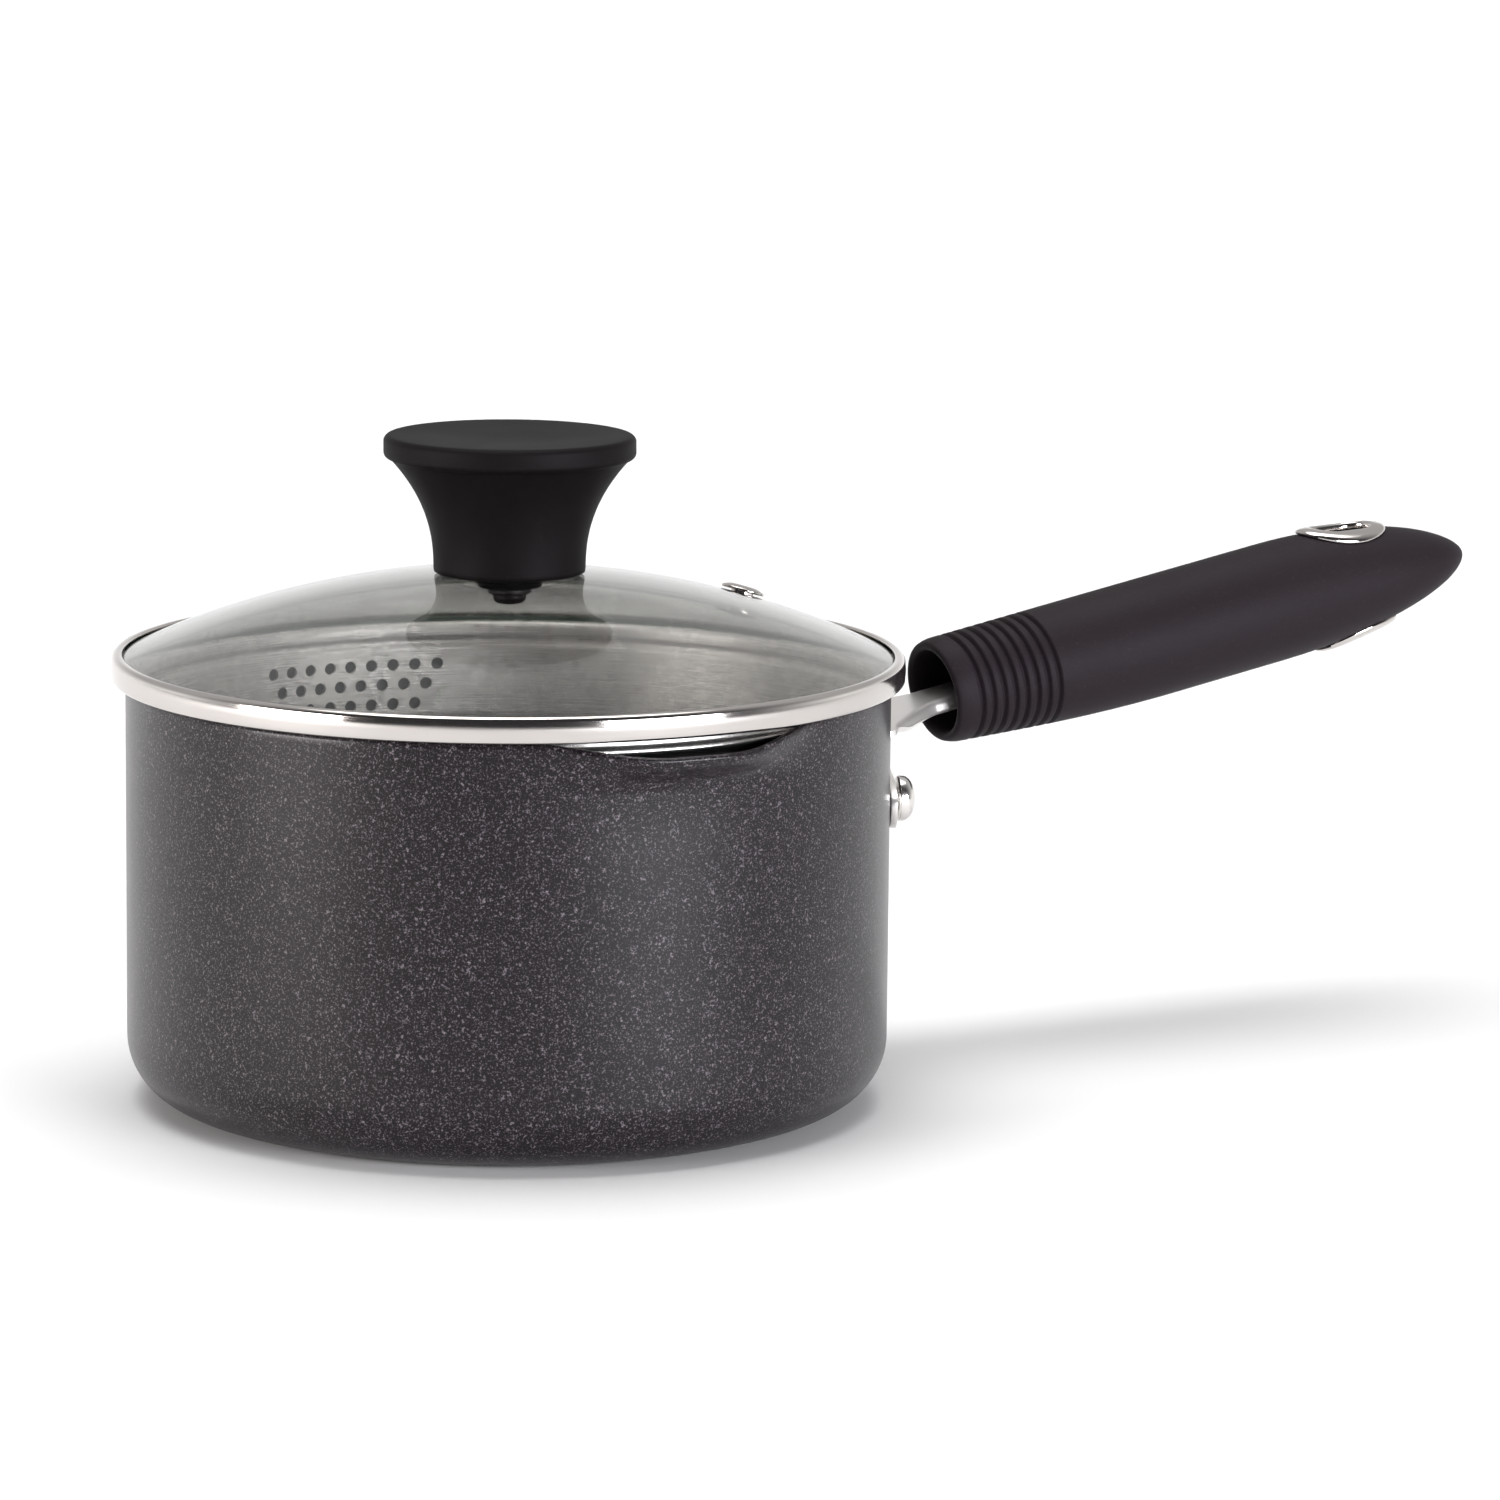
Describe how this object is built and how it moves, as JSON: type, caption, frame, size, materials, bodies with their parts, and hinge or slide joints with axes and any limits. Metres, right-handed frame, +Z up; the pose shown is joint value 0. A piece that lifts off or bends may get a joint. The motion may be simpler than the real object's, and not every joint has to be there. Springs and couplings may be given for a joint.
{
  "type": "saucepan with glass lid",
  "caption": "Small non-stick saucepan with pouring lips, a riveted soft-grip handle and a domed glass lid that has a steel rim, a straining skirt and a flared knob.",
  "frame": {"origin": "centre of the pan's flat base, on the surface that it stands on", "axes": "+Z up along the pan's axis, +X towards the handle, +Y and -Y towards the two pouring lips"},
  "size_m": [0.3317, 0.1758, 0.1434],
  "materials": {
    "pan_coating": "satin charcoal non-stick coating with fine pale speckles, dark inside",
    "stainless": "polished stainless steel",
    "soft_grip": "matt black soft-touch rubber",
    "hard_plastic": "black moulded phenolic",
    "silicone": "black silicone",
    "brass": "machined brass",
    "lid_glass": "clear tempered glass, faint grey-green"
  },
  "bodies": {
    "pan": {"pan_body": "pan_coating", "handle_bracket": "stainless", "right_rivet": "stainless", "left_rivet": "stainless", "handle_grip": "soft_grip", "handle_core": "hard_plastic", "tang_screw": "stainless", "hanging_eyelet_upper": "stainless", "hanging_eyelet_lower": "stainless"},
    "knob": {"knob_grip": "soft_grip", "knob_core": "hard_plastic", "knob_insert": "brass", "knob_gasket": "silicone", "knob_screw": "stainless", "screw_washer": "stainless", "lower_gasket": "silicone"},
    "lid": {"lid_glass": "lid_glass", "lid_rim_band": "stainless", "strainer_skirt": "stainless", "vent_grommet_upper": "stainless", "vent_grommet_lower": "stainless"}
  },
  "joints": [
    {"name": "lid_lift", "type": "slide", "parent": "pan", "child": "knob", "axis": [0, 0, 1], "range_m": [0, 0.08]},
    {"name": "lid_turn", "type": "hinge", "parent": "knob", "child": "lid", "pos_m": [0, 0, 0.09], "axis": [0, 0, 1], "continuous": true}
  ]
}
